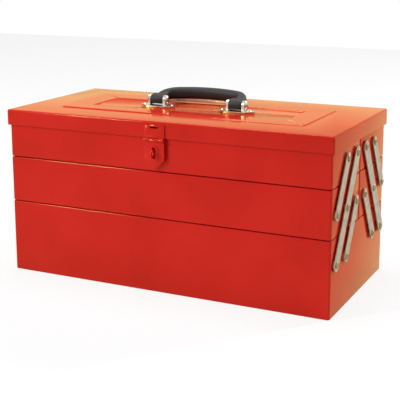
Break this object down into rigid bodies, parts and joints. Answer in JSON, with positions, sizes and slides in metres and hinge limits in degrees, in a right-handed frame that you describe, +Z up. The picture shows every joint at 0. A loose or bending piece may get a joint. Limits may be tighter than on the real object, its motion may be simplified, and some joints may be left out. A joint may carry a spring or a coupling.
{
  "type": "cantilever tool box",
  "caption": "Red steel tool box with a hinged overlapping lid, a folding top handle and trays that spread on riveted cantilever arms.",
  "frame": {"origin": "middle of the flat underside of the base box", "axes": "X along the front, +X to the right seen from the front; -Y towards the front with the hasp, +Y towards the back hinges; +Z up"},
  "size_m": [0.47, 0.2411, 0.25],
  "materials": {
    "red_enamel": "glossy baked enamel on sheet steel",
    "zinc_steel": "zinc plated strip steel",
    "chrome_steel": "chrome plated pressed steel",
    "black_plastic": "moulded black plastic"
  },
  "bodies": {
    "base": {"base_walls": "red_enamel", "base_floor": "red_enamel", "base_rivets": "zinc_steel"},
    "front_long_arms": {"front_long_arm_left": "zinc_steel", "front_long_arm_right": "zinc_steel"},
    "front_base_arms": {"front_base_arm_left": "zinc_steel", "front_base_arm_right": "zinc_steel"},
    "front_tray_arms": {"front_tray_arm_left": "zinc_steel", "front_tray_arm_right": "zinc_steel"},
    "front_lower_tray": {"front_lower_tray_walls": "red_enamel", "front_lower_tray_floor": "red_enamel", "front_lower_rivets": "zinc_steel"},
    "front_upper_tray": {"front_upper_tray_walls": "red_enamel", "front_upper_tray_floor": "red_enamel", "front_upper_rivets": "zinc_steel", "hasp_eye": "red_enamel"},
    "back_long_arms": {"back_long_arm_left": "zinc_steel", "back_long_arm_right": "zinc_steel"},
    "back_base_arms": {"back_base_arm_left": "zinc_steel", "back_base_arm_right": "zinc_steel"},
    "back_tray_arms": {"back_tray_arm_left": "zinc_steel", "back_tray_arm_right": "zinc_steel"},
    "back_lower_tray": {"back_lower_tray_walls": "red_enamel", "back_lower_tray_floor": "red_enamel", "back_lower_rivets": "zinc_steel"},
    "back_upper_tray": {"back_upper_tray_walls": "red_enamel", "back_upper_tray_floor": "red_enamel", "back_upper_rivets": "zinc_steel", "tray_hinge_leaves": "red_enamel", "hinge_pins": "zinc_steel"},
    "lid": {"lid_shell": "red_enamel", "lid_hinge_leaves": "red_enamel", "hasp_plate": "red_enamel", "hasp_pin": "zinc_steel", "bracket_left": "chrome_steel", "bracket_right": "chrome_steel", "bracket_rivets": "chrome_steel", "handle_pins": "chrome_steel"},
    "handle": {"handle_grip": "black_plastic", "handle_strap": "chrome_steel"},
    "hasp": {"hasp_leaf": "red_enamel"}
  },
  "joints": [
    {"name": "front_trays_spread", "type": "hinge", "parent": "base", "child": "front_long_arms", "pos_m": [0, -0.094, 0.066], "axis": [1, 0, 0], "range_deg": [0, 62]},
    {"name": "front_lower_tray_level", "type": "hinge", "parent": "front_long_arms", "child": "front_lower_tray", "pos_m": [0, -0.056, 0.128], "axis": [-1, 0, 0], "range_deg": [0, 62]},
    {"name": "front_upper_tray_level", "type": "hinge", "parent": "front_long_arms", "child": "front_upper_tray", "pos_m": [0, -0.018, 0.19], "axis": [-1, 0, 0], "range_deg": [0, 62]},
    {"name": "front_base_arms_turn", "type": "hinge", "parent": "base", "child": "front_base_arms", "pos_m": [0, -0.056, 0.066], "axis": [1, 0, 0], "range_deg": [0, 62]},
    {"name": "front_tray_arms_turn", "type": "hinge", "parent": "front_lower_tray", "child": "front_tray_arms", "pos_m": [0, -0.094, 0.128], "axis": [1, 0, 0], "range_deg": [0, 62]},
    {"name": "back_trays_spread", "type": "hinge", "parent": "base", "child": "back_long_arms", "pos_m": [0, 0.094, 0.066], "axis": [-1, 0, 0], "range_deg": [0, 62]},
    {"name": "back_lower_tray_level", "type": "hinge", "parent": "back_long_arms", "child": "back_lower_tray", "pos_m": [0, 0.056, 0.128], "axis": [1, 0, 0], "range_deg": [0, 62]},
    {"name": "back_upper_tray_level", "type": "hinge", "parent": "back_long_arms", "child": "back_upper_tray", "pos_m": [0, 0.018, 0.19], "axis": [1, 0, 0], "range_deg": [0, 62]},
    {"name": "back_base_arms_turn", "type": "hinge", "parent": "base", "child": "back_base_arms", "pos_m": [0, 0.056, 0.066], "axis": [-1, 0, 0], "range_deg": [0, 62]},
    {"name": "back_tray_arms_turn", "type": "hinge", "parent": "back_lower_tray", "child": "back_tray_arms", "pos_m": [0, 0.094, 0.128], "axis": [-1, 0, 0], "range_deg": [0, 62]},
    {"name": "lid_hinge", "type": "hinge", "parent": "back_upper_tray", "child": "lid", "pos_m": [0, 0.1144, 0.2022], "axis": [-1, 0, 0], "range_deg": [0, 112]},
    {"name": "handle_swing", "type": "hinge", "parent": "lid", "child": "handle", "pos_m": [0, 0, 0.2358], "axis": [1, 0, 0], "range_deg": [0, 170]},
    {"name": "hasp_hinge", "type": "hinge", "parent": "lid", "child": "hasp", "pos_m": [-0.004, -0.1151, 0.2026], "axis": [-1, 0, 0], "range_deg": [0, 170]}
  ],
  "couplings": [
    {"joint": "front_lower_tray_level", "follows": "front_trays_spread", "ratio": 1},
    {"joint": "front_upper_tray_level", "follows": "front_trays_spread", "ratio": 1},
    {"joint": "front_base_arms_turn", "follows": "front_trays_spread", "ratio": 1},
    {"joint": "front_tray_arms_turn", "follows": "front_trays_spread", "ratio": 1},
    {"joint": "back_trays_spread", "follows": "front_trays_spread", "ratio": 1},
    {"joint": "back_lower_tray_level", "follows": "front_trays_spread", "ratio": 1},
    {"joint": "back_upper_tray_level", "follows": "front_trays_spread", "ratio": 1},
    {"joint": "back_base_arms_turn", "follows": "front_trays_spread", "ratio": 1},
    {"joint": "back_tray_arms_turn", "follows": "front_trays_spread", "ratio": 1},
    {"joint": "lid_hinge", "follows": "front_trays_spread", "ratio": 1.8065}
  ]
}
